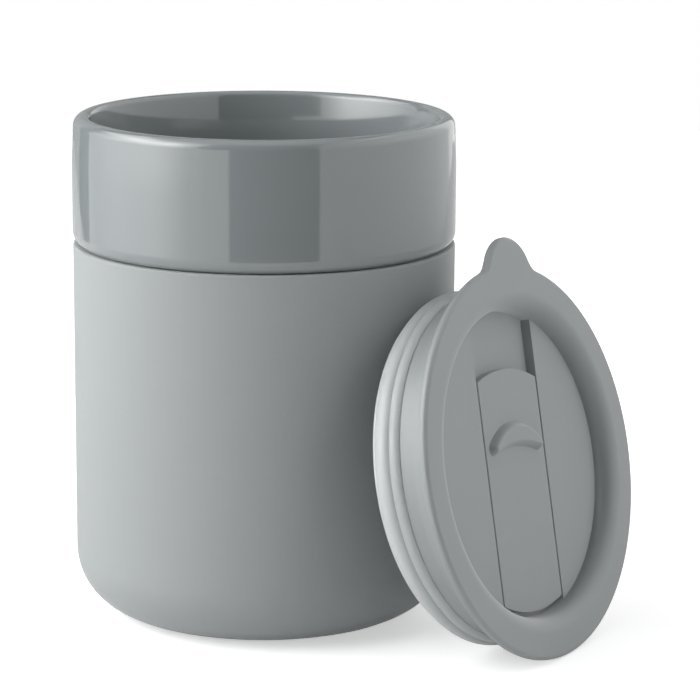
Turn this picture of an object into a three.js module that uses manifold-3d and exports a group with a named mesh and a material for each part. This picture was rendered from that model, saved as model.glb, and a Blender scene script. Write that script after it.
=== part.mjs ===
// Ceramic travel mug in a silicone sleeve, with its press-in lid taken off and leaning on it.
// Millimetres, +Z up. The mug stands on z = 0 with its axis on Z; the front of the mug faces -Y.

import * as THREE from 'three';
import { mergeVertices } from 'three/addons/utils/BufferGeometryUtils.js';
import Module from 'manifold-3d';

// Mug: the glazed collar shows above the sleeve, the body is hidden inside it
const COLLAR_R = 42.5;
const MUG_HEIGHT = 111.6;
const MOUTH_WALL = 5.2;
const LIP_TAPER = 0.5;
const LIP_TAPER_DEPTH = 10.0;
const LIP_ROUND = 2.2;
const FLARE_DEPTH = 12.0;
const FLARE_ANGLE = 6.0;
const SHOULDER_DEPTH = 19.5;
const SHOULDER_DROP = 9.0;
const COLLAR_ROUND = 2.6;
const CUP_WALL = 4.0;
const CUP_FLOOR = 6.0;
const CUP_INNER_CORNER = 10.0;
const FOOT_RING_WIDTH = 5.0;
const FOOT_RECESS = 1.2;

// Sleeve: a silicone boot around the lower part of the cup
const SLEEVE_HEIGHT = 83.3;
const SLEEVE_STEP = 0.1;
const SLEEVE_WALL = 2.8;
const SLEEVE_FLOOR = 2.8;
const SLEEVE_CORNER = 14.0;
const SLEEVE_EDGE = 0.6;
const SEAM_GAP = 0.4;
const FIT_GAP = 0.3;

// Lid: flange, sunken pan and hollow plug, with heights measured from the flange's underside
const FLANGE_THICKNESS = 2.2;
const FLANGE_EDGE = 0.9;
const PLUG_GAP = 0.4;
const PLUG_FLARE = 1.3;
const PLUG_FLARE_DEPTH = 4.5;
const PLUG_WALL = 3.7;
const PAN_DEPTH = 4.4;
const PAN_ROUND = 3.8;
const PAN_FLOOR = 2.0;
const TAB_REACH = 6.1;
const TAB_TIP_R = 9.0;
const TAB_FILLET = 5.0;
const TAB_ROOT = 3.0;

// Channel in the pan floor, with the sip hole and the slot for the slider's legs
const CHANNEL_WIDTH = 25.1;
const CHANNEL_DEPTH = 2.3;
const CHANNEL_FLOOR = 1.8;
const CHANNEL_WALL = 1.8;
const SIP_WIDTH = 13.0;
const SIP_LENGTH = 6.0;
const SIP_MARGIN = 3.0;
const SLOT_WIDTH = 6.4;

// Slider strip with its half-moon thumb ridge and two snap legs
const SLIDER_TRAVEL = 11.6;
const SLIDE_GAP = 0.4;
const END_GAP = 0.5;
const FLOOR_GAP = 0.3;
const RIDGE_Y = 3.7;
const RIDGE_DEPTH = 5.4;
const RIDGE_HALF_WIDTH = 10.6;
const RIDGE_OUTER_R = 14.3;
const RIDGE_INNER_R = 28.0;
const RIDGE_HEIGHT = 1.6;
const RIDGE_ROUND = 1.1;
const LEG_Y = -6.0;
const LEG_LENGTH = 6.0;
const LEG_THICKNESS = 1.4;
const BARB_REACH = 1.0;
const BARB_HEIGHT = 1.2;

// Gasket: a silicone ring on the plug, with two lips, held by a bead on the plug
const SEAL_DEPTH = 14.9;
const SEAL_STEP = 1.9;
const SEAL_RISE = 0.1;
const SEAL_SQUEEZE = 1.3;
const SEAL_WEB = 1.3;
const SEAL_FOOT_ROUND = 0.8;
const SEAL_VALLEY = 0.9;
const LOWER_LIP = 4.2;
const UPPER_LIP = 2.3;
const SKIRT_WALL = 2.0;
const BEAD_REACH = 0.7;
const BEAD_HEIGHT = 2.0;
const BEAD_TIP = 0.8;

// Where the lid leans: bearings are turned from -Y towards +X
const LID_BEARING = 58.4;
const LID_FACING = 56.0;
const LID_LEAN = 13.6;
const LID_SPIN = -7.5;
const LEAN_GAP = 0.3;

// Roundness of the facets
const TURN_STEPS = 60;
const ARC_STEPS = 5;

// Sizes that follow from the ones above
const MOUTH_R = COLLAR_R - MOUTH_WALL;
const SLEEVE_R = COLLAR_R - SLEEVE_STEP;
const SLEEVE_INNER_R = SLEEVE_R - SLEEVE_WALL;
const SLEEVE_INNER_CORNER = SLEEVE_CORNER - SLEEVE_WALL;
const BODY_R = SLEEVE_INNER_R - FIT_GAP;
const CUP_INNER_R = BODY_R - CUP_WALL;
const FLANGE_R = COLLAR_R;
const PLUG_R = MOUTH_R - PLUG_GAP;
const PAN_R = PLUG_R - PLUG_WALL;
const PAN_Z = FLANGE_THICKNESS - PAN_DEPTH;
const CHANNEL_Z = PAN_Z - CHANNEL_DEPTH;
const TROUGH_Z = CHANNEL_Z - CHANNEL_FLOOR;
const SEAT_R = PLUG_R - SEAL_STEP;
const SKIRT_INNER_R = SEAT_R - SKIRT_WALL;
const SKIRT_Z = SEAL_WEB + FIT_GAP - SEAL_DEPTH;
const SEAL_TOP = SEAL_DEPTH - SEAL_FOOT_ROUND - LOWER_LIP - UPPER_LIP;
const BEAD_Z = -(SEAL_TOP + SEAL_DEPTH - SEAL_WEB) / 2;
const SLIDER_END_R = PAN_R - END_GAP;
const SLIDER_WIDTH = CHANNEL_WIDTH - 2 * SLIDE_GAP;
const SLIDER_Z = CHANNEL_Z + FLOOR_GAP;
const SLIDER_TOP = PAN_Z;

const wasm = await Module();
wasm.setup();

// Points of an arc in the (r, z) half plane or in a flat outline, from one angle to another
function arc(centreX, centreY, radius, fromDegrees, toDegrees, steps = ARC_STEPS) {
  const points = [];
  for (let step = 0; step <= steps; step += 1) {
    const angle = THREE.MathUtils.degToRad(fromDegrees + ((toDegrees - fromDegrees) * step) / steps);
    points.push([centreX + radius * Math.cos(angle), centreY + radius * Math.sin(angle)]);
  }
  return points;
}

// Merges shared corners and drops triangles that have collapsed to a line
function welded(geometry) {
  const plain = geometry.clone();
  plain.deleteAttribute('normal');
  plain.deleteAttribute('uv');
  const merged = mergeVertices(plain, 1e-4);
  const kept = [];
  const { array } = merged.index;
  for (let i = 0; i < array.length; i += 3) {
    const [a, b, c] = [array[i], array[i + 1], array[i + 2]];
    if (a !== b && b !== c && c !== a) {
      kept.push(a, b, c);
    }
  }
  merged.setIndex(kept);
  return merged;
}

// Solid of revolution about Z from an (r, z) profile that runs anticlockwise
function turned(profile) {
  const points = profile.map(([r, z]) => new THREE.Vector2(r, z));
  const geometry = new THREE.LatheGeometry(points, TURN_STEPS);
  geometry.rotateX(Math.PI / 2);
  return welded(geometry);
}

// Round bar about Z between two heights
function roundBar(radius, bottom, top) {
  return turned([[0, bottom], [radius, bottom], [radius, top], [0, top]]);
}

// Upright plate with a flat outline, between two heights
function plate(outline, bottom, top) {
  const shape = new THREE.Shape(outline.map(([x, y]) => new THREE.Vector2(x, y)));
  const geometry = new THREE.ExtrudeGeometry(shape, { depth: top - bottom, bevelEnabled: false });
  geometry.translate(0, 0, bottom);
  return welded(geometry);
}

// Plate whose outer edges are rounded above, and below as well if it is asked for
function roundedPlate(outline, bottom, top, round, roundBelow) {
  const shape = new THREE.Shape(outline.map(([x, y]) => new THREE.Vector2(x, y)));
  const start = roundBelow ? bottom + round : bottom - round;
  const geometry = new THREE.ExtrudeGeometry(shape, {
    depth: top - round - start,
    bevelEnabled: true,
    bevelThickness: round,
    bevelSize: round,
    bevelOffset: -round,
    bevelSegments: 3,
  });
  geometry.translate(0, 0, start);
  return welded(geometry);
}

function box(width, length, height, x, y, z) {
  const geometry = new THREE.BoxGeometry(width, length, height);
  geometry.translate(x, y, z);
  return welded(geometry);
}

function solid(geometry) {
  return new wasm.Manifold(new wasm.Mesh({
    numProp: 3,
    vertProperties: new Float32Array(geometry.attributes.position.array),
    triVerts: new Uint32Array(geometry.index.array),
  }));
}

function geometryOf(manifold) {
  const mesh = manifold.getMesh();
  const geometry = new THREE.BufferGeometry();
  geometry.setAttribute('position', new THREE.BufferAttribute(mesh.vertProperties, 3));
  geometry.setIndex(new THREE.BufferAttribute(mesh.triVerts, 1));
  return geometry;
}

function named(name, geometry, color, roughness) {
  const material = new THREE.MeshStandardMaterial({ color, roughness, metalness: 0 });
  const mesh = new THREE.Mesh(geometry, material);
  mesh.name = name;
  return mesh;
}

// Cup: foot ring, rounded corner, straight body, overhanging collar, tapered lip, flared mouth and inside
function ceramicCup() {
  const footZ = SLEEVE_FLOOR + FIT_GAP;
  const corner = SLEEVE_INNER_CORNER - FIT_GAP;
  const footR = BODY_R - corner;
  const recessR = footR - FOOT_RING_WIDTH;
  const collarZ = SLEEVE_HEIGHT + SEAM_GAP;
  const collarRound = Math.min(COLLAR_ROUND, COLLAR_R - BODY_R);
  const crownR = COLLAR_R - LIP_TAPER - LIP_ROUND;
  const mouthTopR = MOUTH_R + FLARE_DEPTH * Math.tan(THREE.MathUtils.degToRad(FLARE_ANGLE));
  const innerRound = crownR - mouthTopR;
  const shoulderZ = MUG_HEIGHT - SHOULDER_DEPTH;
  const floorZ = footZ + CUP_FLOOR;
  return turned([
    [0, footZ + FOOT_RECESS],
    [recessR - FOOT_RECESS, footZ + FOOT_RECESS],
    [recessR, footZ],
    ...arc(footR, footZ + corner, corner, -90, 0),
    [BODY_R, collarZ],
    ...arc(COLLAR_R - collarRound, collarZ + collarRound, collarRound, -90, 0),
    [COLLAR_R, MUG_HEIGHT - LIP_TAPER_DEPTH],
    ...arc(crownR, MUG_HEIGHT - LIP_ROUND, LIP_ROUND, 0, 90),
    ...arc(crownR, MUG_HEIGHT - innerRound, innerRound, 90, 180 - FLARE_ANGLE).slice(1),
    [MOUTH_R, MUG_HEIGHT - FLARE_DEPTH],
    [MOUTH_R, shoulderZ],
    [CUP_INNER_R, shoulderZ - SHOULDER_DROP],
    ...arc(CUP_INNER_R - CUP_INNER_CORNER, floorZ + CUP_INNER_CORNER, CUP_INNER_CORNER, 0, -90),
    [0, floorZ],
  ]);
}

// Sleeve: closed base, rounded corner and a straight wall with a softened top edge
function siliconeSleeve() {
  const innerCorner = SLEEVE_INNER_CORNER;
  const topZ = SLEEVE_HEIGHT - SLEEVE_EDGE;
  return turned([
    [0, 0],
    ...arc(SLEEVE_R - SLEEVE_CORNER, SLEEVE_CORNER, SLEEVE_CORNER, -90, 0, 7),
    ...arc(SLEEVE_R - SLEEVE_EDGE, topZ, SLEEVE_EDGE, 0, 90, 2),
    ...arc(SLEEVE_INNER_R + SLEEVE_EDGE, topZ, SLEEVE_EDGE, 90, 180, 2),
    ...arc(SLEEVE_INNER_R - innerCorner, SLEEVE_FLOOR + innerCorner, innerCorner, 0, -90),
    [0, SLEEVE_FLOOR],
  ]);
}

// Outline of the thumb tab: a tip circle blended into the flange's rim by two fillet circles
function tabOutline() {
  const tipY = FLANGE_R + TAB_REACH - TAB_TIP_R;
  const rimToFillet = FLANGE_R + TAB_FILLET;
  const tipToFillet = TAB_TIP_R + TAB_FILLET;
  const filletY = (rimToFillet ** 2 - tipToFillet ** 2 + tipY ** 2) / (2 * tipY);
  const filletX = Math.sqrt(rimToFillet ** 2 - filletY ** 2);
  const rimAngle = THREE.MathUtils.radToDeg(Math.atan2(filletY, filletX));
  const tipAngle = THREE.MathUtils.radToDeg(Math.atan2(filletY - tipY, filletX));
  const rootX = (filletX / rimToFillet) * (FLANGE_R - TAB_ROOT);
  const rootY = (filletY / rimToFillet) * (FLANGE_R - TAB_ROOT);
  return [
    [rootX, rootY],
    ...arc(filletX, filletY, TAB_FILLET, rimAngle + 180, tipAngle + 180),
    ...arc(0, tipY, TAB_TIP_R, tipAngle, 180 - tipAngle, 2 * ARC_STEPS).slice(1, -1),
    ...arc(-filletX, filletY, TAB_FILLET, -tipAngle, -rimAngle),
    [-rootX, rootY],
  ];
}

// Sip hole: wide across X, with round ends, right through the channel floor
function sipHole() {
  const radius = SIP_LENGTH / 2;
  const x = SIP_WIDTH / 2 - radius;
  const y = radius + SIP_MARGIN - PAN_R;
  const outline = [
    ...arc(x, y, radius, -90, 90, 2 * ARC_STEPS),
    ...arc(-x, y, radius, 90, 270, 2 * ARC_STEPS),
  ];
  return solid(plate(outline, TROUGH_Z - CHANNEL_FLOOR, CHANNEL_Z + CHANNEL_FLOOR));
}

// Lid body: turned flange, pan and plug, plus the tab and the trough, minus channel and openings
function lidBody() {
  const roundTop = FLANGE_THICKNESS - PAN_ROUND;
  const rim = solid(turned([
    [0, PAN_Z - PAN_FLOOR],
    [SKIRT_INNER_R, PAN_Z - PAN_FLOOR],
    [SKIRT_INNER_R, SKIRT_Z],
    [SEAT_R, SKIRT_Z],
    [SEAT_R, BEAD_Z - BEAD_HEIGHT / 2],
    [SEAT_R + BEAD_REACH, BEAD_Z - BEAD_TIP / 2],
    [SEAT_R + BEAD_REACH, BEAD_Z + BEAD_TIP / 2],
    [SEAT_R, BEAD_Z + BEAD_HEIGHT / 2],
    [SEAT_R, FIT_GAP - SEAL_TOP],
    [PLUG_R, FIT_GAP - SEAL_TOP],
    [PLUG_R, -PLUG_FLARE_DEPTH],
    [PLUG_R + PLUG_FLARE, 0],
    ...arc(FLANGE_R - FLANGE_EDGE, FLANGE_EDGE, FLANGE_EDGE, -90, 0, 3),
    ...arc(FLANGE_R - FLANGE_EDGE, FLANGE_THICKNESS - FLANGE_EDGE, FLANGE_EDGE, 0, 90, 3),
    ...arc(PAN_R + PAN_ROUND, roundTop, PAN_ROUND, 90, 180),
    [PAN_R, PAN_Z],
    [0, PAN_Z],
  ]));
  const tab = solid(roundedPlate(tabOutline(), 0, FLANGE_THICKNESS, FLANGE_EDGE, true));

  const troughWidth = CHANNEL_WIDTH + 2 * CHANNEL_WALL;
  const troughHeight = PAN_Z - TROUGH_Z;
  const trough = solid(box(troughWidth, 2 * SEAT_R, troughHeight, 0, 0, (PAN_Z + TROUGH_Z) / 2))
    .intersect(solid(roundBar(SKIRT_INNER_R + SKIRT_WALL / 2, TROUGH_Z, PAN_Z)));

  const channelTop = FLANGE_THICKNESS;
  const channelHeight = channelTop - CHANNEL_Z;
  const channel = solid(box(CHANNEL_WIDTH, 2 * SEAT_R, channelHeight, 0, 0, (channelTop + CHANNEL_Z) / 2))
    .intersect(solid(roundBar(PAN_R, CHANNEL_Z, channelTop)));

  const slotLength = LEG_LENGTH + SLIDER_TRAVEL + 2 * SLIDE_GAP;
  const slotY = LEG_Y + SLIDER_TRAVEL / 2;
  const slot = solid(box(SLOT_WIDTH, slotLength, 2 * CHANNEL_FLOOR, 0, slotY, (CHANNEL_Z + TROUGH_Z) / 2));

  return geometryOf(rim.add(trough).add(tab).subtract(channel).subtract(sipHole()).subtract(slot));
}

// Outline of the slider: two end arcs concentric with the pan wall at either end of the travel
function sliderOutline() {
  const half = SLIDER_WIDTH / 2;
  const cornerAngle = THREE.MathUtils.radToDeg(Math.acos(half / SLIDER_END_R));
  return [
    ...arc(0, -SLIDER_TRAVEL, SLIDER_END_R, cornerAngle, 180 - cornerAngle, 2 * ARC_STEPS),
    ...arc(0, 0, SLIDER_END_R, 180 + cornerAngle, 360 - cornerAngle, 2 * ARC_STEPS),
  ];
}

// Outline of the thumb ridge: a half moon whose hollow side faces away from the tab
function ridgeOutline() {
  const outerY = RIDGE_Y + RIDGE_DEPTH - RIDGE_OUTER_R;
  const innerY = RIDGE_Y - RIDGE_INNER_R;
  const outerAngle = THREE.MathUtils.radToDeg(Math.acos(RIDGE_HALF_WIDTH / RIDGE_OUTER_R));
  const innerAngle = THREE.MathUtils.radToDeg(Math.acos(RIDGE_HALF_WIDTH / RIDGE_INNER_R));
  return [
    ...arc(0, outerY, RIDGE_OUTER_R, outerAngle, 180 - outerAngle, 2 * ARC_STEPS),
    ...arc(0, innerY, RIDGE_INNER_R, 180 - innerAngle, innerAngle),
  ];
}

// Slider: strip and ridge above, and two barbed legs that reach through the slot and hook under it
function lidSlider() {
  const strip = solid(plate(sliderOutline(), SLIDER_Z, SLIDER_TOP));
  const ridge = solid(roundedPlate(ridgeOutline(), SLIDER_TOP, SLIDER_TOP + RIDGE_HEIGHT, RIDGE_ROUND, false));
  const barbTop = TROUGH_Z - FLOOR_GAP;
  const barbBottom = barbTop - BARB_HEIGHT;
  const legHeight = SLIDER_TOP - barbBottom;
  const legX = SLOT_WIDTH / 2 - SLIDE_GAP - LEG_THICKNESS / 2;
  const barbInner = legX - LEG_THICKNESS / 2;
  const barbWidth = SLOT_WIDTH / 2 + BARB_REACH - barbInner;
  let slider = strip.add(ridge);
  for (const side of [-1, 1]) {
    const legZ = (SLIDER_TOP + barbBottom) / 2;
    const leg = solid(box(LEG_THICKNESS, LEG_LENGTH, legHeight, side * legX, LEG_Y, legZ));
    const barbX = side * (barbInner + barbWidth / 2);
    const barbZ = (barbTop + barbBottom) / 2;
    const barb = solid(box(barbWidth, LEG_LENGTH, BARB_HEIGHT, barbX, LEG_Y, barbZ));
    slider = slider.add(leg).add(barb);
  }
  return geometryOf(slider);
}

// Gasket: a web under the plug's end, a wide lower lip and a narrow upper lip
function lidGasket() {
  const innerR = SEAT_R + FIT_GAP;
  const outerR = PLUG_R + SEAL_RISE;
  const lipR = MOUTH_R + SEAL_SQUEEZE;
  const valleyR = lipR - SEAL_VALLEY;
  const footR = outerR - SEAL_FOOT_ROUND / 2;
  const lowerTop = SEAL_FOOT_ROUND + LOWER_LIP - SEAL_DEPTH;
  const lowerMiddle = (SEAL_FOOT_ROUND - SEAL_DEPTH + lowerTop) / 2;
  const upperMiddle = (lowerTop - SEAL_TOP) / 2;
  const beadGap = FIT_GAP / 2;
  return turned([
    [SKIRT_INNER_R, -SEAL_DEPTH],
    ...arc(footR, SEAL_FOOT_ROUND - SEAL_DEPTH, SEAL_FOOT_ROUND, -90, -20, 2),
    [lipR - SEAL_VALLEY / 4, lowerMiddle - LOWER_LIP / 5],
    [lipR, lowerMiddle],
    [lipR - SEAL_VALLEY / 4, lowerMiddle + LOWER_LIP / 4],
    [valleyR, lowerTop],
    [lipR - SEAL_VALLEY / 4, upperMiddle - UPPER_LIP / 4],
    [lipR, upperMiddle],
    [lipR - SEAL_VALLEY / 4, upperMiddle + UPPER_LIP / 4],
    [outerR, -SEAL_TOP],
    [innerR, -SEAL_TOP],
    [innerR, BEAD_Z + BEAD_HEIGHT / 2 + beadGap],
    [innerR + BEAD_REACH, BEAD_Z + BEAD_TIP / 2 + beadGap],
    [innerR + BEAD_REACH, BEAD_Z - BEAD_TIP / 2 - beadGap],
    [innerR, BEAD_Z - BEAD_HEIGHT / 2 - beadGap],
    [innerR, SEAL_WEB - SEAL_DEPTH],
    [SKIRT_INNER_R, SEAL_WEB - SEAL_DEPTH],
    [SKIRT_INNER_R, -SEAL_DEPTH],
  ]);
}

// The lid stands on its flange and leans its gasket's foot on the mug's wall
function leaningLid(pieces) {
  const lean = THREE.MathUtils.degToRad(LID_LEAN);
  const bearing = THREE.MathUtils.degToRad(LID_BEARING);
  const footR = PLUG_R + SEAL_RISE - SEAL_FOOT_ROUND / 2;
  const footDepth = SEAL_DEPTH - SEAL_FOOT_ROUND;
  const reach = footR * Math.sin(lean) + footDepth * Math.cos(lean) + SEAL_FOOT_ROUND;
  const distance = Math.max(COLLAR_R, SLEEVE_R) + LEAN_GAP + reach;
  const rimR = FLANGE_R - FLANGE_EDGE;
  const height = rimR * Math.cos(lean) - FLANGE_EDGE * Math.sin(lean) + FLANGE_EDGE;

  const spun = new THREE.Group();
  spun.rotation.z = THREE.MathUtils.degToRad(LID_SPIN);
  spun.add(...pieces);
  const tilted = new THREE.Group();
  tilted.rotation.x = Math.PI / 2 - lean;
  tilted.add(spun);
  const placed = new THREE.Group();
  placed.position.set(distance * Math.sin(bearing), -distance * Math.cos(bearing), height);
  placed.rotation.z = THREE.MathUtils.degToRad(LID_FACING);
  placed.add(tilted);
  return placed;
}

const mug = new THREE.Group();
mug.add(
  named('silicone_sleeve', siliconeSleeve(), 0xa9adab, 0.8),
  named('ceramic_cup', ceramicCup(), 0x8f9494, 0.12),
  leaningLid([
    named('lid_body', lidBody(), 0x9a9e9e, 0.55),
    named('lid_slider', lidSlider(), 0x9a9e9e, 0.55),
    named('lid_gasket', lidGasket(), 0xdfe2e1, 0.45),
  ]),
);

export default mug;
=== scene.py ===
"""Looks of the lidded mug: a glazed cup in a silicone sleeve, and its lid leaning on it."""

import math

import bmesh
import bpy
from mathutils import Matrix, Vector


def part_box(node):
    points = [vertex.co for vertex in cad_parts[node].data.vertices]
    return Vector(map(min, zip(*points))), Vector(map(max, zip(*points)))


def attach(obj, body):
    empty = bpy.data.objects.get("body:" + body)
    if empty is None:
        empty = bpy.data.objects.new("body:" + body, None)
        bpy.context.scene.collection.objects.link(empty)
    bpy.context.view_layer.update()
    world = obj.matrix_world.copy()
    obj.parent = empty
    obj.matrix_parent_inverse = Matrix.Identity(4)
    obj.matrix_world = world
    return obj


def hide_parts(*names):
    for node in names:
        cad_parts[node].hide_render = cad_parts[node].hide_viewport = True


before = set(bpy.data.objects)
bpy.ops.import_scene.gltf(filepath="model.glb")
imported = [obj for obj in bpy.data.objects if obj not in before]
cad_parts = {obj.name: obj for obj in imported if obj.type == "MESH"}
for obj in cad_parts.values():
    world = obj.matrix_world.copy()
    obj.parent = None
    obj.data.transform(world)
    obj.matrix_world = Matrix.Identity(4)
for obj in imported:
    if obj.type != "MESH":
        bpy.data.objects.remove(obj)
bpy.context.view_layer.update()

# Meshes are drawn in millimetres and scaled to metres when they are placed
MM = 0.001
# Points nearer to each other than this are merged
WELD = 0.0005
# A point within this of a level or a line counts as lying on it
CLOSE = 0.01
# A face whose normal rises more than this faces up
FACING_UP = 0.5
SHARP_ANGLE = math.radians(32)
ARC_STEP = math.radians(7.5)
ARC_STEPS_MIN = 2
TURN_STEPS = 180
LID_TURN_STEPS = 240
EDGE_STEPS = 3

# Mug sizes that are read from the frame
cup_low, cup_high = (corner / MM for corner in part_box("ceramic_cup"))
sleeve_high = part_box("silicone_sleeve")[1] / MM
COLLAR_R = cup_high.x
MUG_HEIGHT = cup_high.z
CUP_FOOT_Z = cup_low.z
SLEEVE_R = sleeve_high.x
SLEEVE_HEIGHT = sleeve_high.z

# Cup
MOUTH_R = 37.3
LIP_TAPER = 0.5
LIP_TAPER_DEPTH = 10.0
LIP_TAPER_ROUND = 100.0
LIP_ROUND = 2.2
LIP_INNER_ROUND = 1.3
FLARE_DEPTH = 6.0
FLARE_ANGLE = math.radians(13.7)
FLARE_ROUND = 40.0
SHOULDER_DEPTH = 19.5
SHOULDER_DROP = 9.0
SHOULDER_ROUND = 12.0
COLLAR_ROUND = 4.0
COLLAR_UNDERCUT = math.radians(42)
COLLAR_EDGE = 0.12
COLLAR_ROOT_ROUND = 0.2
CUP_WALL = 4.0
CUP_FLOOR = 6.0
CUP_INNER_CORNER = 10.0
FOOT_RING_WIDTH = 5.0
FOOT_RECESS = 1.2
FOOT_ROUND = 0.5
FIT_GAP = 0.3
SEAM_GAP = 0.3

# Sleeve
SLEEVE_WALL = 2.8
SLEEVE_FLOOR = 2.8
SLEEVE_CORNER = 14.0
SLEEVE_EDGE = 0.5

# Lid body, with heights measured from the flange's underside
FLANGE_R = COLLAR_R
FLANGE_THICKNESS = 2.2
FLANGE_EDGE = 0.9
FLANGE_TAPER = 0.3
FLANGE_LOWER_EDGE = 0.6
FLANGE_FILLET = 0.8
PLUG_R = 37.3
PLUG_FLARE = 0.6
PLUG_FLARE_DEPTH = 4.5
PLUG_FLARE_ROUND = 6.0
PAN_R = 33.2
PAN_Z = -2.2
PAN_ROUND = 3.8
PAN_FLOOR = 2.0
SEAT_R = 35.0
SKIRT_INNER_R = 33.0
SKIRT_Z = -13.3
SKIRT_ROUND = 0.3
BEAD_Z = -10.6
BEAD_REACH = 0.7
BEAD_HEIGHT = 2.0
BEAD_TIP = 0.8
TAB_REACH = 6.1
TAB_TIP_R = 9.0
TAB_FILLET = 5.0

# Channel across the pan, with the sip hole and the slot for the slider's legs
CHANNEL_WIDTH = 25.1
CHANNEL_Z = -4.5
CHANNEL_EDGE = 0.12
TROUGH_Z = -6.3
TROUGH_WIDTH = 28.7
SIP_WIDTH = 13.0
SIP_LENGTH = 6.0
SIP_MARGIN = 3.0
SIP_CORNER = 2.9
SIP_CORNER_STEPS = 8
SLOT_WIDTH = 6.4

# Slider strip, its half-moon thumb ridge and its two snap legs
SLIDER_TRAVEL = 11.6
SLIDE_GAP = 0.4
SLIDER_END_R = 32.1
SLIDER_END_STEPS = 24
SLIDER_WIDTH = 24.1
SLIDER_Z = -4.2
SLIDER_TOP = PAN_Z
SLIDER_EDGE = 0.12
RIDGE_Y = 3.7
RIDGE_DEPTH = 5.4
RIDGE_HALF_WIDTH = 10.6
RIDGE_OUTER_R = 14.3
RIDGE_OUTER_STEPS = 14
RIDGE_INNER_R = 28.0
RIDGE_INNER_STEPS = 10
RIDGE_HEIGHT = 1.6
RIDGE_CORNER = 1.35
RIDGE_SLOPE = 1.3
RIDGE_STEPS = 8
LEG_Y = -6.0
LEG_LENGTH = 6.0
LEG_THICKNESS = 1.4
BARB_REACH = 1.0
BARB_HEIGHT = 1.2

# Gasket
SEAL_DEPTH = 14.9
SEAL_FOOT_ROUND = 0.8
SEAL_WEB = 1.3
SEAL_FOOT_R = 37.0
SEAL_VALLEY_R = 38.0
LOWER_LIP = 4.2
LOWER_REACH = 1.0
UPPER_LIP = 2.3
UPPER_REACH = 0.35
SEAL_CREASE = 0.05
SEAL_RISE = 0.15
LIP_FULLNESS = 0.75
SEAL_TOP = SEAL_DEPTH - SEAL_FOOT_ROUND - LOWER_LIP - UPPER_LIP
LIP_STEPS = 10
SEAL_EDGE = 0.25

# Where the lid leans: bearings are turned from -Y towards +X
LID_BEARING = math.radians(58.4)
LID_FACING = math.radians(56.0)
LID_LEAN = math.radians(13.6)
LID_SPIN = math.radians(-7.5)
LEAN_GAP = 0.3

# Finishes, with their tones, their smoothest and roughest gloss, and the height of their grain in metres
CLOUD_DETAIL = 4
GRAIN_DETAIL = 3
GLAZE_FINISH = dict(
    light=(0.226, 0.249, 0.254),
    dark=(0.216, 0.239, 0.244),
    roughness=(0.05, 0.09),
    cloud_scale=60,
    grain_scale=900,
    grain_height=0.000004,
)
SLEEVE_FINISH = dict(
    light=(0.315, 0.335, 0.338),
    dark=(0.304, 0.324, 0.327),
    roughness=(0.68, 0.78),
    cloud_scale=45,
    grain_scale=3500,
    grain_height=0.00003,
)
LID_FINISH = dict(
    light=(0.293, 0.312, 0.315),
    dark=(0.282, 0.301, 0.304),
    roughness=(0.38, 0.46),
    cloud_scale=50,
    grain_scale=4200,
    grain_height=0.00003,
)
SLIDER_FINISH = dict(
    light=(0.297, 0.316, 0.318),
    dark=(0.286, 0.305, 0.307),
    roughness=(0.42, 0.52),
    cloud_scale=50,
    grain_scale=4200,
    grain_height=0.00003,
)
GASKET_FINISH = dict(
    light=(0.460, 0.482, 0.482),
    dark=(0.442, 0.463, 0.463),
    roughness=(0.40, 0.50),
    cloud_scale=60,
    grain_scale=3000,
    grain_height=0.00001,
)
GLAZE_IOR = 1.72
SLEEVE_SHEEN = 0.25
SLEEVE_SHEEN_ROUGHNESS = 0.4
GASKET_SCATTER = 0.005
WHITE = (1, 1, 1, 1)

# Table, in metres, with its tone and glow for the light on the object, and those that the camera sees
TABLE_X = 0.02
TABLE_Y = 0.20
TABLE_WIDTH = 0.76
TABLE_LENGTH = 1.10
TABLE_TONE = 0.7
TABLE_GLOW = 0.12
TABLE_TONE_SEEN = 0.9
TABLE_GLOW_SEEN = 0.47

# Panels of light, in metres, with the brightness at their edge and in their middle
PANEL_DISTANCE = 0.65
LEFT_PANEL = dict(bearing=math.radians(-83), middle_z=0.48, width=1.21, height=1.64, edge=0.94, middle=6.6)
RIGHT_PANEL = dict(bearing=math.radians(98), middle_z=0.50, width=2.90, height=1.60, edge=0.90, middle=1.80)
HIGH_LAMP = dict(bearing=math.radians(-112), middle_z=0.75, width=0.60, height=0.50, edge=1.9, middle=1.9)
LEFT_LAMP = dict(bearing=math.radians(-60), middle_z=0.48, width=0.80, height=1.64, edge=0, middle=4.4)
LOW_BOARD = dict(bearing=math.radians(-30), middle_z=-0.08, width=0.23, height=0.52, edge=1.08, middle=1.08)
TOP_PANEL = dict(place=(0, 0.1, 1.3), target=(0, 0.1, 0), width=1.6, height=1.6, edge=0.55, middle=0.55)
BACK_PANEL = dict(place=(0, 2.2, 0.5), target=(0, 0, 0.5), width=3.2, height=1.8, edge=0.38, middle=0.38)
SURROUND_GLOW = 0.01

# Camera, fitted to the outlines of the mug and of the lid
CAMERA_TARGET = Vector((0, 0, 0.060))
CAMERA_DISTANCE = 0.678959
CAMERA_ELEVATION = math.radians(12.132)
CAMERA_YAW = math.radians(-1.619)
CAMERA_PITCH = math.radians(-0.141)
CAMERA_LENS = 155.65
CAMERA_SENSOR = 36


def arc(centre_y, radius, start, end, steps):
    """Points of an arc around (0, centre_y), between two angles in radians."""
    points = []
    for step in range(steps + 1):
        angle = start + (end - start) * step / steps
        points.append((radius * math.cos(angle), centre_y + radius * math.sin(angle)))
    return points


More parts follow.
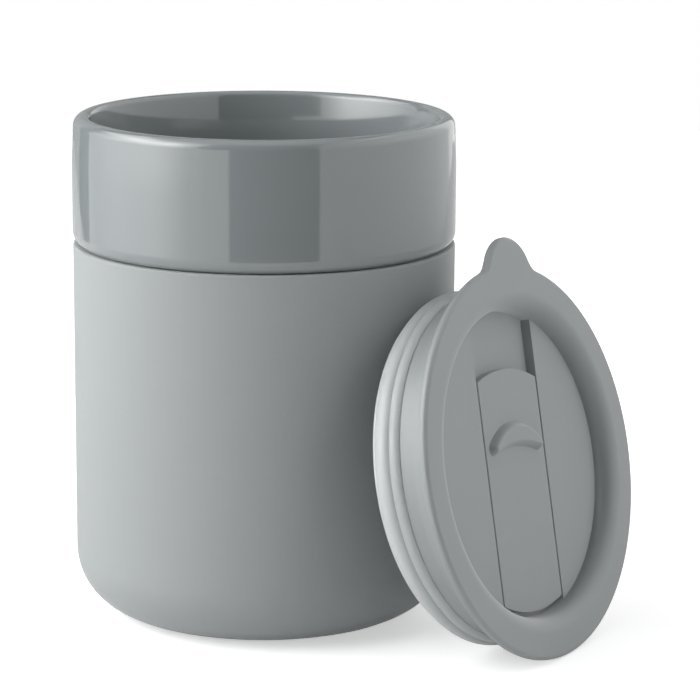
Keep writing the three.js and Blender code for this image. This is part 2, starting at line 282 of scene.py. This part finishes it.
def rounded(corners, closed=False):
    """Points along a line of corners (x, y, radius), each corner turned into an arc of its radius."""
    points = []
    last = len(corners) - 1
    for index, (x, y, radius) in enumerate(corners):
        corner = Vector((x, y))
        if radius == 0 or (not closed and index in (0, last)):
            points.append(corner)
            continue
        back = (Vector(corners[index - 1][:2]) - corner).normalized()
        ahead = (Vector(corners[(index + 1) % len(corners)][:2]) - corner).normalized()
        half_angle = back.angle(ahead) / 2
        centre = corner + (back + ahead).normalized() * radius / math.sin(half_angle)
        arm = corner + back * radius / math.tan(half_angle) - centre
        turn = math.copysign(math.pi - 2 * half_angle, ahead.cross(back))
        steps = max(ARC_STEPS_MIN, round(abs(turn) / ARC_STEP))
        for step in range(steps + 1):
            points.append(centre + Matrix.Rotation(turn * step / steps, 2) @ arm)
    return points


def line_of(mesh, points, closed):
    """Edges through a row of 3-D points."""
    corners = [mesh.verts.new(point) for point in points]
    edges = [mesh.edges.new(pair) for pair in zip(corners, corners[1:])]
    if closed:
        edges.append(mesh.edges.new((corners[-1], corners[0])))
    return edges


def turned(profile, steps, closed=False):
    """Surface of revolution about Z from the points (r, z) of a profile."""
    mesh = bmesh.new()
    line_of(mesh, [(r, 0, z) for r, z in profile], closed)
    bmesh.ops.remove_doubles(mesh, verts=mesh.verts, dist=WELD)
    geometry = list(mesh.verts) + list(mesh.edges)
    bmesh.ops.spin(mesh, geom=geometry, axis=(0, 0, 1), cent=(0, 0, 0), angle=2 * math.pi, steps=steps,
                   use_merge=True)
    bmesh.ops.remove_doubles(mesh, verts=mesh.verts, dist=WELD)
    bmesh.ops.recalc_face_normals(mesh, faces=mesh.faces)
    return mesh


def faces_between(mesh, low, high, radius=FLANGE_R):
    """Faces that lie between two heights and inside a radius."""
    def inside(corner):
        return low - CLOSE < corner.co.z < high + CLOSE and corner.co.xy.length < radius + CLOSE

    return [face for face in mesh.faces if all(inside(corner) for corner in face.verts)]


def cut(mesh, faces, place, direction):
    """Cuts faces along a plane."""
    edges = {edge for face in faces for edge in face.edges}
    corners = {corner for face in faces for corner in face.verts}
    geometry = faces + list(edges) + list(corners)
    bmesh.ops.bisect_plane(mesh, geom=geometry, plane_co=place, plane_no=direction, dist=WELD)


def sink(mesh, faces, depth):
    """Pushes flat faces down, with walls around them."""
    grown = bmesh.ops.extrude_face_region(mesh, geom=faces)["geom"]
    corners = [item for item in grown if isinstance(item, bmesh.types.BMVert)]
    bmesh.ops.translate(mesh, verts=corners, vec=(0, 0, -depth))
    bmesh.ops.delete(mesh, geom=faces, context="FACES")


def soften(mesh, edges, width, segments):
    """Rounds edges over a width."""
    bmesh.ops.bevel(mesh, geom=edges, offset=width, offset_type="OFFSET", segments=segments, profile=0.5,
                    affect="EDGES", material=-1)


def within(face, x, y_low, y_high):
    """Whether a face's middle lies nearer to the Y axis than x, and between two values of y."""
    centre = face.calc_center_median()
    return abs(centre.x) < x and y_low < centre.y < y_high


def open_window(mesh, x, y_low, y_high):
    """Opens a rectangle through the channel's floor, and returns the upright edges at its corners."""
    rims = []
    for level in (CHANNEL_Z, TROUGH_Z):
        for place in (-x, x):
            cut(mesh, faces_between(mesh, level, level), (place, 0, 0), (1, 0, 0))
        for place in (y_low, y_high):
            cut(mesh, faces_between(mesh, level, level), (0, place, 0), (0, 1, 0))
        inside = [face for face in faces_between(mesh, level, level) if within(face, x, y_low, y_high)]
        rims.extend(edge for face in inside for edge in face.edges)
        bmesh.ops.delete(mesh, geom=inside, context="FACES_ONLY")
    walls = bmesh.ops.bridge_loops(mesh, edges=rims)["edges"]
    return [edge for edge in walls if abs(edge.verts[0].co.z - edge.verts[1].co.z) > CLOSE]


def tab_growth(angle):
    """How far the tab reaches past the flange, at an angle from the tab's middle."""
    tip_y = FLANGE_R + TAB_REACH - TAB_TIP_R
    rim_to_fillet = FLANGE_R + TAB_FILLET
    tip_to_fillet = TAB_TIP_R + TAB_FILLET
    fillet_y = (rim_to_fillet**2 - tip_to_fillet**2 + tip_y**2) / (2 * tip_y)
    fillet_x = math.sqrt(rim_to_fillet**2 - fillet_y**2)
    fillet_angle = math.atan2(fillet_x, fillet_y)
    tip_end = (fillet_x * TAB_TIP_R / tip_to_fillet, tip_y + (fillet_y - tip_y) * TAB_TIP_R / tip_to_fillet)
    tip_angle = math.atan2(*tip_end)
    angle = abs(angle)
    if angle >= fillet_angle:
        return 0
    if angle > tip_angle:
        away = rim_to_fillet * math.sin(fillet_angle - angle)
        along = rim_to_fillet * math.cos(fillet_angle - angle)
        return along - math.sqrt(TAB_FILLET**2 - away**2) - FLANGE_R
    away = tip_y * math.sin(angle)
    return tip_y * math.cos(angle) + math.sqrt(TAB_TIP_R**2 - away**2) - FLANGE_R


def build_cup():
    """Foot ring, rounded corner, straight body, overhanging collar, lip, flared mouth and inside."""
    body_r = SLEEVE_R - SLEEVE_WALL - FIT_GAP
    inner_r = body_r - CUP_WALL
    corner = SLEEVE_CORNER - SLEEVE_WALL - FIT_GAP
    recess_r = body_r - corner - FOOT_RING_WIDTH
    recess_z = CUP_FOOT_Z + FOOT_RECESS
    collar_z = SLEEVE_HEIGHT + SEAM_GAP
    collar_edge_r = COLLAR_R - COLLAR_ROUND * (1 - math.cos(COLLAR_UNDERCUT))
    collar_turn_z = collar_z + COLLAR_ROUND * (math.sin(COLLAR_UNDERCUT) - math.tan(COLLAR_UNDERCUT / 2))
    mouth_top_r = MOUTH_R + FLARE_DEPTH * math.tan(FLARE_ANGLE)
    shoulder_z = MUG_HEIGHT - SHOULDER_DEPTH
    floor_z = CUP_FOOT_Z + CUP_FLOOR
    return turned(rounded([
        (0, recess_z, 0),
        (recess_r - FOOT_RECESS, recess_z, FOOT_ROUND),
        (recess_r, CUP_FOOT_Z, FOOT_ROUND),
        (body_r, CUP_FOOT_Z, corner),
        (body_r, collar_z, COLLAR_ROOT_ROUND),
        (collar_edge_r, collar_z, COLLAR_EDGE),
        (COLLAR_R, collar_turn_z, COLLAR_ROUND),
        (COLLAR_R, MUG_HEIGHT - LIP_TAPER_DEPTH, LIP_TAPER_ROUND),
        (COLLAR_R - LIP_TAPER, MUG_HEIGHT, LIP_ROUND),
        (mouth_top_r, MUG_HEIGHT, LIP_INNER_ROUND),
        (MOUTH_R, MUG_HEIGHT - FLARE_DEPTH, FLARE_ROUND),
        (MOUTH_R, shoulder_z, SHOULDER_ROUND),
        (inner_r, shoulder_z - SHOULDER_DROP, SHOULDER_ROUND),
        (inner_r, floor_z, CUP_INNER_CORNER),
        (0, floor_z, 0),
    ]), TURN_STEPS)


def build_sleeve():
    """Closed base, rounded corner and a straight wall with a softened top edge."""
    inner_r = SLEEVE_R - SLEEVE_WALL
    return turned(rounded([
        (0, 0, 0),
        (SLEEVE_R, 0, SLEEVE_CORNER),
        (SLEEVE_R, SLEEVE_HEIGHT, SLEEVE_EDGE),
        (inner_r, SLEEVE_HEIGHT, SLEEVE_EDGE),
        (inner_r, SLEEVE_FLOOR, SLEEVE_CORNER - SLEEVE_WALL),
        (0, SLEEVE_FLOOR, 0),
    ]), TURN_STEPS)


def build_lid():
    """Flange with a thumb tab, sunken pan, hollow plug, channel with its trough, sip hole and slot."""
    underside_z = PAN_Z - PAN_FLOOR
    plug_z = SEAL_CREASE - SEAL_TOP
    mesh = turned(rounded([
        (PAN_R, PAN_Z, 0),
        (PAN_R, FLANGE_THICKNESS, PAN_ROUND),
        (FLANGE_R, FLANGE_THICKNESS, FLANGE_EDGE),
        (FLANGE_R, FLANGE_TAPER, FLANGE_LOWER_EDGE),
        (PLUG_R + PLUG_FLARE, 0, FLANGE_FILLET),
        (PLUG_R, -PLUG_FLARE_DEPTH, PLUG_FLARE_ROUND),
        (PLUG_R, plug_z, SEAL_CREASE),
        (SEAT_R, plug_z, 0),
        (SEAT_R, BEAD_Z + BEAD_HEIGHT / 2, 0),
        (SEAT_R + BEAD_REACH, BEAD_Z + BEAD_TIP / 2, 0),
        (SEAT_R + BEAD_REACH, BEAD_Z - BEAD_TIP / 2, 0),
        (SEAT_R, BEAD_Z - BEAD_HEIGHT / 2, 0),
        (SEAT_R, SKIRT_Z, SKIRT_ROUND),
        (SKIRT_INNER_R, SKIRT_Z, SKIRT_ROUND),
        (SKIRT_INNER_R, TROUGH_Z, 0),
        (SKIRT_INNER_R, underside_z, 0),
    ]), LID_TURN_STEPS)

    rims = [edge for edge in mesh.edges if edge.is_boundary]
    for level in (PAN_Z, underside_z):
        rim = [edge for edge in rims if abs(edge.verts[0].co.z - level) < CLOSE]
        bmesh.ops.contextual_create(mesh, geom=rim)

    # Channel from above
    half_channel = CHANNEL_WIDTH / 2
    for x in (-half_channel, half_channel):
        cut(mesh, faces_between(mesh, PAN_Z, PAN_Z), (x, 0, 0), (1, 0, 0))
    floor = [face for face in faces_between(mesh, PAN_Z, PAN_Z) if within(face, half_channel, -PAN_R, PAN_R)]
    sink(mesh, floor, PAN_Z - CHANNEL_Z)

    # Trough from below, with the faces where it joins the skirt taken away
    half_trough = TROUGH_WIDTH / 2
    for x in (-half_trough, half_trough):
        cut(mesh, faces_between(mesh, TROUGH_Z, underside_z, SKIRT_INNER_R), (x, 0, 0), (1, 0, 0))
    flat = faces_between(mesh, underside_z, underside_z, SKIRT_INNER_R)
    sink(mesh, [face for face in flat if within(face, half_trough, -PAN_R, PAN_R)], underside_z - TROUGH_Z)
    joined = []
    for face in faces_between(mesh, TROUGH_Z, underside_z, SKIRT_INNER_R):
        outside = face.calc_center_median().xy.length > SKIRT_INNER_R - CLOSE
        if outside and within(face, half_trough, -PAN_R, PAN_R):
            joined.append(face)
    bmesh.ops.delete(mesh, geom=joined, context="FACES")
    bmesh.ops.remove_doubles(mesh, verts=mesh.verts, dist=WELD)

    # Sip hole with its round ends, and the slot for the legs
    sip_low = SIP_MARGIN - PAN_R
    uprights = open_window(mesh, SIP_WIDTH / 2, sip_low, sip_low + SIP_LENGTH)
    soften(mesh, uprights, SIP_CORNER, SIP_CORNER_STEPS)
    slot_low = LEG_Y - LEG_LENGTH / 2 - SLIDE_GAP
    open_window(mesh, SLOT_WIDTH / 2, slot_low, slot_low + LEG_LENGTH + SLIDER_TRAVEL + 2 * SLIDE_GAP)

    # Softened edges along the channel
    lengthwise = []
    for edge in mesh.edges:
        ends = [corner.co for corner in edge.verts]
        on_line = all(abs(abs(end.x) - half_channel) < CLOSE and abs(end.z - PAN_Z) < CLOSE for end in ends)
        if on_line:
            lengthwise.append(edge)
    soften(mesh, lengthwise, CHANNEL_EDGE, EDGE_STEPS)

    # Thumb tab: the flange's rim is drawn outwards
    tab_root = PAN_R + PAN_ROUND
    for corner in mesh.verts:
        radius = corner.co.xy.length
        if radius > tab_root:
            share = min(1, (radius - tab_root) / (FLANGE_R - FLANGE_EDGE - tab_root))
            growth = share * tab_growth(math.atan2(corner.co.x, corner.co.y))
            corner.co.xy *= 1 + growth / radius
    return mesh


def slider_outline():
    """Two end arcs, concentric with the pan's wall at either end of the travel."""
    corner_angle = math.acos(SLIDER_WIDTH / 2 / SLIDER_END_R)
    upper = arc(-SLIDER_TRAVEL, SLIDER_END_R, corner_angle, math.pi - corner_angle, SLIDER_END_STEPS)
    lower = arc(0, SLIDER_END_R, math.pi + corner_angle, 2 * math.pi - corner_angle, SLIDER_END_STEPS)
    return upper + lower


def ridge_outline():
    """A half moon with blunt ends, whose hollow side faces away from the tab."""
    outer_angle = math.acos(RIDGE_HALF_WIDTH / RIDGE_OUTER_R)
    inner_angle = math.acos(RIDGE_HALF_WIDTH / RIDGE_INNER_R)
    outer_y = RIDGE_Y + RIDGE_DEPTH - RIDGE_OUTER_R
    inner_y = RIDGE_Y - RIDGE_INNER_R
    outer = arc(outer_y, RIDGE_OUTER_R, outer_angle, math.pi - outer_angle, RIDGE_OUTER_STEPS)
    inner = arc(inner_y, RIDGE_INNER_R, math.pi - inner_angle, inner_angle, RIDGE_INNER_STEPS)
    corners = []
    for side in (outer, inner):
        for index, (x, y) in enumerate(side):
            at_end = index in (0, len(side) - 1)
            corners.append((x, y, RIDGE_CORNER if at_end else 0))
    return rounded(corners, closed=True)


def build_slider():
    """Strip with softened edges, thumb ridge, and two barbed legs that reach through the slot."""
    mesh = bmesh.new()
    bottom_edges = line_of(mesh, [(x, y, SLIDER_Z) for x, y in slider_outline()], closed=True)
    strip = bmesh.ops.contextual_create(mesh, geom=bottom_edges)["faces"]
    grown = bmesh.ops.extrude_face_region(mesh, geom=strip, use_keep_orig=True)["geom"]
    raised = [item for item in grown if isinstance(item, bmesh.types.BMVert)]
    top = [item for item in grown if isinstance(item, bmesh.types.BMFace)]
    bmesh.ops.translate(mesh, verts=raised, vec=(0, 0, SLIDER_TOP - SLIDER_Z))
    bmesh.ops.recalc_face_normals(mesh, faces=mesh.faces)
    top_edges = list(top[0].edges)
    soften(mesh, top_edges, SLIDER_EDGE, EDGE_STEPS)

    # The ridge is set into the top, and raised in steps that grow flatter towards its crown
    top = max(mesh.faces, key=lambda face: face.calc_area() if face.normal.z > FACING_UP else 0)
    rim = list(top.edges)
    bmesh.ops.delete(mesh, geom=[top], context="FACES_ONLY")
    ridge_edges = line_of(mesh, [(x, y, SLIDER_TOP) for x, y in ridge_outline()], closed=True)
    bmesh.ops.triangle_fill(mesh, edges=rim + ridge_edges, use_beauty=True, normal=(0, 0, 1))
    ridge = bmesh.ops.contextual_create(mesh, geom=ridge_edges)["faces"]
    bmesh.ops.recalc_face_normals(mesh, faces=mesh.faces)
    for step in range(RIDGE_STEPS):
        start = math.sin(math.pi / 2 * step / RIDGE_STEPS)
        end = math.sin(math.pi / 2 * (step + 1) / RIDGE_STEPS)
        bmesh.ops.inset_region(mesh, faces=ridge, thickness=RIDGE_SLOPE / RIDGE_STEPS, use_even_offset=True)
        crown = {corner for face in ridge for corner in face.verts}
        bmesh.ops.translate(mesh, verts=list(crown), vec=(0, 0, RIDGE_HEIGHT * (end - start)))

    # Legs: hook-shaped outlines, pulled to their length along Y
    barb_top = TROUGH_Z - FIT_GAP
    barb_bottom = barb_top - BARB_HEIGHT
    leg_outer = SLOT_WIDTH / 2 - SLIDE_GAP
    leg_inner = leg_outer - LEG_THICKNESS
    barb_outer = SLOT_WIDTH / 2 + BARB_REACH
    leg_top = (SLIDER_Z + SLIDER_TOP) / 2
    hook = [
        (leg_inner, leg_top),
        (leg_inner, barb_bottom),
        (leg_outer, barb_bottom),
        (barb_outer, barb_top),
        (leg_outer, barb_top),
        (leg_outer, leg_top),
    ]
    for side in (-1, 1):
        edges = line_of(mesh, [(side * x, LEG_Y - LEG_LENGTH / 2, z) for x, z in hook], closed=True)
        end_face = bmesh.ops.contextual_create(mesh, geom=edges)["faces"]
        leg = bmesh.ops.extrude_face_region(mesh, geom=end_face, use_keep_orig=True)["geom"]
        far_end = [item for item in leg if isinstance(item, bmesh.types.BMVert)]
        bmesh.ops.translate(mesh, verts=far_end, vec=(0, LEG_LENGTH, 0))
    return mesh


def lip_line(z_low, z_high, r_low, r_high, reach):
    """Points of a rounded sealing lip between two heights, its middle standing out."""
    points = []
    for step in range(1, LIP_STEPS):
        share = step / LIP_STEPS
        bulge = reach * math.sin(math.pi * share) ** LIP_FULLNESS
        points.append((r_low + (r_high - r_low) * share + bulge, z_low + (z_high - z_low) * share, 0))
    return points


def build_gasket():
    """Web under the plug's end, a wide lower lip and a narrow upper lip."""
    foot_z = SEAL_FOOT_ROUND - SEAL_DEPTH
    lower_top = foot_z + LOWER_LIP
    inner_r = SEAT_R + FIT_GAP
    bead_half = BEAD_HEIGHT / 2 + FIT_GAP / 2
    tip_half = BEAD_TIP / 2 + FIT_GAP / 2
    corners = [
        (SKIRT_INNER_R, -SEAL_DEPTH, SEAL_EDGE),
        (SEAL_FOOT_R, -SEAL_DEPTH, SEAL_FOOT_ROUND),
        (SEAL_FOOT_R, foot_z + CLOSE, 0),
    ]
    corners += lip_line(foot_z, lower_top, SEAL_FOOT_R, SEAL_VALLEY_R, LOWER_REACH)
    corners.append((SEAL_VALLEY_R, lower_top, 0))
    corners += lip_line(lower_top, -SEAL_TOP, SEAL_VALLEY_R, PLUG_R + SEAL_RISE, UPPER_REACH)
    corners += [
        (PLUG_R + SEAL_RISE, -SEAL_TOP, 0),
        (inner_r, -SEAL_TOP, SEAL_EDGE),
        (inner_r, BEAD_Z + bead_half, 0),
        (inner_r + BEAD_REACH, BEAD_Z + tip_half, 0),
        (inner_r + BEAD_REACH, BEAD_Z - tip_half, 0),
        (inner_r, BEAD_Z - bead_half, 0),
        (inner_r, SEAL_WEB - SEAL_DEPTH, 0),
        (SKIRT_INNER_R, SEAL_WEB - SEAL_DEPTH, SEAL_EDGE),
    ]
    return turned(rounded(corners, closed=True), LID_TURN_STEPS, closed=True)


def lid_place():
    """The lid stands on its flange and leans its gasket's foot on the mug's wall."""
    foot_r = SEAL_FOOT_R - SEAL_FOOT_ROUND / 2
    foot_depth = SEAL_DEPTH - SEAL_FOOT_ROUND
    reach = foot_r * math.sin(LID_LEAN) + foot_depth * math.cos(LID_LEAN) + SEAL_FOOT_ROUND
    distance = max(COLLAR_R, SLEEVE_R) + LEAN_GAP + reach
    rim_r = FLANGE_R - FLANGE_EDGE
    height = rim_r * math.cos(LID_LEAN) - FLANGE_EDGE * math.sin(LID_LEAN) + FLANGE_EDGE
    position = Vector((distance * math.sin(LID_BEARING), -distance * math.cos(LID_BEARING), height))
    facing = Matrix.Rotation(LID_FACING, 4, "Z")
    tilt = Matrix.Rotation(math.pi / 2 - LID_LEAN, 4, "X")
    spin = Matrix.Rotation(LID_SPIN, 4, "Z")
    return Matrix.Translation(position) @ facing @ tilt @ spin


def finish_group():
    """Shader group: soft clouds of tone and gloss over a surface, and a fine grain for its bump."""
    group = bpy.data.node_groups.new("moulded_finish", "ShaderNodeTree")
    sockets = group.interface
    for name in ("Light", "Dark"):
        sockets.new_socket(name, in_out="INPUT", socket_type="NodeSocketColor")
    for name in ("Smooth", "Rough", "Cloud Scale", "Grain Scale"):
        sockets.new_socket(name, in_out="INPUT", socket_type="NodeSocketFloat")
    sockets.new_socket("Color", in_out="OUTPUT", socket_type="NodeSocketColor")
    sockets.new_socket("Roughness", in_out="OUTPUT", socket_type="NodeSocketFloat")
    sockets.new_socket("Height", in_out="OUTPUT", socket_type="NodeSocketFloat")

    nodes = group.nodes
    inputs = nodes.new("NodeGroupInput")
    outputs = nodes.new("NodeGroupOutput")
    coordinates = nodes.new("ShaderNodeTexCoord")
    cloud = nodes.new("ShaderNodeTexNoise")
    cloud.inputs["Detail"].default_value = CLOUD_DETAIL
    grain = nodes.new("ShaderNodeTexNoise")
    grain.inputs["Detail"].default_value = GRAIN_DETAIL
    tone = nodes.new("ShaderNodeMix")
    tone.data_type = "RGBA"
    gloss = nodes.new("ShaderNodeMapRange")

    join = group.links.new
    join(coordinates.outputs["Object"], cloud.inputs["Vector"])
    join(coordinates.outputs["Object"], grain.inputs["Vector"])
    join(inputs.outputs["Cloud Scale"], cloud.inputs["Scale"])
    join(inputs.outputs["Grain Scale"], grain.inputs["Scale"])
    join(cloud.outputs["Fac"], tone.inputs["Factor"])
    join(inputs.outputs["Dark"], tone.inputs["A"])
    join(inputs.outputs["Light"], tone.inputs["B"])
    join(cloud.outputs["Fac"], gloss.inputs["Value"])
    join(inputs.outputs["Smooth"], gloss.inputs["To Min"])
    join(inputs.outputs["Rough"], gloss.inputs["To Max"])
    join(tone.outputs["Result"], outputs.inputs["Color"])
    join(gloss.outputs["Result"], outputs.inputs["Roughness"])
    join(grain.outputs["Fac"], outputs.inputs["Height"])
    return group


def shader_of(material):
    """The material's own shader, whose sockets hold what is the same all over."""
    return material.node_tree.nodes["Principled BSDF"]


def finish_material(name, group, light, dark, roughness, cloud_scale, grain_scale, grain_height):
    """Material with the shared finish: roughness from smoothest to roughest, grain height in metres."""
    material = bpy.data.materials.new(name)
    material.use_nodes = True
    nodes = material.node_tree.nodes
    shader = shader_of(material)
    finish = nodes.new("ShaderNodeGroup")
    finish.node_tree = group
    finish.inputs["Light"].default_value = (*light, 1)
    finish.inputs["Dark"].default_value = (*dark, 1)
    finish.inputs["Smooth"].default_value = roughness[0]
    finish.inputs["Rough"].default_value = roughness[1]
    finish.inputs["Cloud Scale"].default_value = cloud_scale
    finish.inputs["Grain Scale"].default_value = grain_scale
    bump = nodes.new("ShaderNodeBump")
    bump.inputs["Distance"].default_value = grain_height
    join = material.node_tree.links.new
    join(finish.outputs["Color"], shader.inputs["Base Color"])
    join(finish.outputs["Roughness"], shader.inputs["Roughness"])
    join(finish.outputs["Height"], bump.inputs["Height"])
    join(bump.outputs["Normal"], shader.inputs["Normal"])
    return material


def add_piece(name, mesh, material, node, body, place=Matrix.Identity(4)):
    """Turns a mesh in millimetres into a piece that stands for a node of the frame."""
    bmesh.ops.remove_doubles(mesh, verts=mesh.verts, dist=WELD)
    bmesh.ops.recalc_face_normals(mesh, faces=mesh.faces)
    bmesh.ops.transform(mesh, matrix=Matrix.Scale(MM, 4) @ place, verts=mesh.verts)
    data = bpy.data.meshes.new(name)
    mesh.to_mesh(data)
    mesh.free()
    data.shade_smooth()
    data.set_sharp_from_angle(angle=SHARP_ANGLE)
    data.materials.append(material)
    piece = bpy.data.objects.new(name, data)
    bpy.context.scene.collection.objects.link(piece)
    piece.modifiers.new("flat_faces_stay_flat", "WEIGHTED_NORMAL").keep_sharp = True
    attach(piece, body)
    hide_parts(node)
    return piece


def add_panel(name, place, target, width, height, edge, middle):
    """Soft rectangular light that faces a target, with its brightness at the edge and in the middle."""
    light = bpy.data.lights.new(name, "AREA")
    light.shape = "RECTANGLE"
    light.size = width
    light.size_y = height
    # Power that grows with the area, so that the brightness doesn't depend on the size
    light.energy = math.pi * width * height
    light.use_nodes = True
    nodes = light.node_tree.nodes
    join = light.node_tree.links.new
    geometry = nodes.new("ShaderNodeNewGeometry")
    centred = nodes.new("ShaderNodeMapping")
    centred.inputs["Location"].default_value = (-1, -1, 0)
    centred.inputs["Scale"].default_value = (2, 2, 0)
    falloff = nodes.new("ShaderNodeTexGradient")
    falloff.gradient_type = "QUADRATIC_SPHERE"
    strength = nodes.new("ShaderNodeMapRange")
    strength.inputs["To Min"].default_value = edge
    strength.inputs["To Max"].default_value = middle
    join(geometry.outputs["Parametric"], centred.inputs["Vector"])
    join(centred.outputs["Vector"], falloff.inputs["Vector"])
    join(falloff.outputs["Fac"], strength.inputs["Value"])
    join(strength.outputs["Result"], nodes["Emission"].inputs["Strength"])
    panel = bpy.data.objects.new(name, light)
    panel.location = place
    panel.rotation_euler = (Vector(target) - Vector(place)).to_track_quat("-Z", "Y").to_euler()
    panel.visible_camera = False
    bpy.context.scene.collection.objects.link(panel)


def add_side_panel(name, bearing, middle_z, width, height, edge, middle):
    """Panel that stands beside the table and faces the mug."""
    away = Vector((math.sin(bearing), -math.cos(bearing), 0)) * PANEL_DISTANCE
    centre = Vector((0, 0, middle_z))
    add_panel(name, centre + away, centre, width, height, edge, middle)


def set_table_side(shader, tone, glow):
    """A matte tone with a glow of its own."""
    shader.inputs["Base Color"].default_value = (tone, tone, tone, 1)
    shader.inputs["Specular IOR Level"].default_value = 0
    shader.inputs["Emission Color"].default_value = WHITE
    shader.inputs["Emission Strength"].default_value = glow


def show_apart(tree, for_light, for_camera, output):
    """Shows one shader to the camera, and another to the light that falls on the object."""
    path = tree.nodes.new("ShaderNodeLightPath")
    choice = tree.nodes.new("ShaderNodeMixShader")
    join = tree.links.new
    join(path.outputs["Is Camera Ray"], choice.inputs["Fac"])
    join(for_light.outputs[0], choice.inputs[1])
    join(for_camera.outputs[0], choice.inputs[2])
    join(choice.outputs["Shader"], output.inputs["Surface"])


# Materials
moulded = finish_group()
glaze = finish_material("glaze", moulded, **GLAZE_FINISH)
sleeve_silicone = finish_material("sleeve_silicone", moulded, **SLEEVE_FINISH)
lid_plastic = finish_material("lid_plastic", moulded, **LID_FINISH)
slider_plastic = finish_material("slider_plastic", moulded, **SLIDER_FINISH)
gasket_silicone = finish_material("gasket_silicone", moulded, **GASKET_FINISH)

shader_of(glaze).inputs["IOR"].default_value = GLAZE_IOR
sleeve_shader = shader_of(sleeve_silicone)
sleeve_shader.inputs["Sheen Weight"].default_value = SLEEVE_SHEEN
sleeve_shader.inputs["Sheen Roughness"].default_value = SLEEVE_SHEEN_ROUGHNESS
gasket_shader = shader_of(gasket_silicone)
gasket_shader.inputs["Subsurface Weight"].default_value = 1
gasket_shader.inputs["Subsurface Radius"].default_value = (1, 1, 1)
gasket_shader.inputs["Subsurface Scale"].default_value = GASKET_SCATTER

# Pieces
leaning = lid_place()
add_piece("sleeve", build_sleeve(), sleeve_silicone, "silicone_sleeve", "sleeve")
add_piece("cup", build_cup(), glaze, "ceramic_cup", "cup")
lid = add_piece("lid", build_lid(), lid_plastic, "lid_body", "lid", leaning)
slider = add_piece(
    "slider", build_slider(), slider_plastic, "lid_slider", "slider", leaning)
gasket = add_piece(
    "gasket", build_gasket(), gasket_silicone, "lid_gasket", "lid", leaning)

# The glaze mirrors the panels and the table, but not the lid that leans on the mug
for piece in (lid, slider, gasket):
    piece.visible_glossy = False

# Floor: a white table that ends short of the panels
floor_mesh = bmesh.new()
table = Matrix.Translation((TABLE_X, TABLE_Y, 0)) @ Matrix.Diagonal((TABLE_WIDTH / 2, TABLE_LENGTH / 2, 1, 1))
bmesh.ops.create_grid(floor_mesh, x_segments=1, y_segments=1, size=1, matrix=table)
floor_data = bpy.data.meshes.new("floor")
floor_mesh.to_mesh(floor_data)
floor_mesh.free()
floor_paint = bpy.data.materials.new("floor_paint")
floor_paint.use_nodes = True
floor_nodes = floor_paint.node_tree.nodes
grey_side = shader_of(floor_paint)
white_side = floor_nodes.new("ShaderNodeBsdfPrincipled")
set_table_side(grey_side, TABLE_TONE, TABLE_GLOW)
set_table_side(white_side, TABLE_TONE_SEEN, TABLE_GLOW_SEEN)
show_apart(floor_paint.node_tree, grey_side, white_side, floor_nodes["Material Output"])
floor_data.materials.append(floor_paint)
floor = bpy.data.objects.new("floor", floor_data)
bpy.context.scene.collection.objects.link(floor)

# Light: brightest from the left, dimmer from the right, and faint from above and behind
add_side_panel("left_panel", **LEFT_PANEL)
add_side_panel("right_panel", **RIGHT_PANEL)
add_side_panel("high_lamp", **HIGH_LAMP)
add_side_panel("left_lamp", **LEFT_LAMP)
add_side_panel("low_board", **LOW_BOARD)
add_panel("top_panel", **TOP_PANEL)
add_panel("back_panel", **BACK_PANEL)

# World: white where the camera looks past the table, dim for the light on the object
world = bpy.data.worlds.new("studio")
world.use_nodes = True
world_nodes = world.node_tree.nodes
dim = world_nodes["Background"]
dim.inputs["Color"].default_value = WHITE
dim.inputs["Strength"].default_value = SURROUND_GLOW
white = world_nodes.new("ShaderNodeBackground")
white.inputs["Color"].default_value = WHITE
show_apart(world.node_tree, dim, white, world_nodes["World Output"])
bpy.context.scene.world = world

# Camera
camera_data = bpy.data.cameras.new("camera")
camera_data.lens = CAMERA_LENS
camera_data.sensor_width = CAMERA_SENSOR
camera = bpy.data.objects.new("camera", camera_data)
back_off = Vector((0, -math.cos(CAMERA_ELEVATION), math.sin(CAMERA_ELEVATION)))
place = Matrix.Translation(CAMERA_TARGET + CAMERA_DISTANCE * back_off)
aim = Matrix.Rotation(math.pi / 2 - CAMERA_ELEVATION, 4, "X")
yaw = Matrix.Rotation(CAMERA_YAW, 4, "Y")
pitch = Matrix.Rotation(CAMERA_PITCH, 4, "X")
camera.matrix_world = place @ aim @ yaw @ pitch
bpy.context.scene.collection.objects.link(camera)
bpy.context.scene.camera = camera

bpy.context.scene.view_settings.view_transform = "Standard"
bpy.context.scene.view_settings.look = "None"
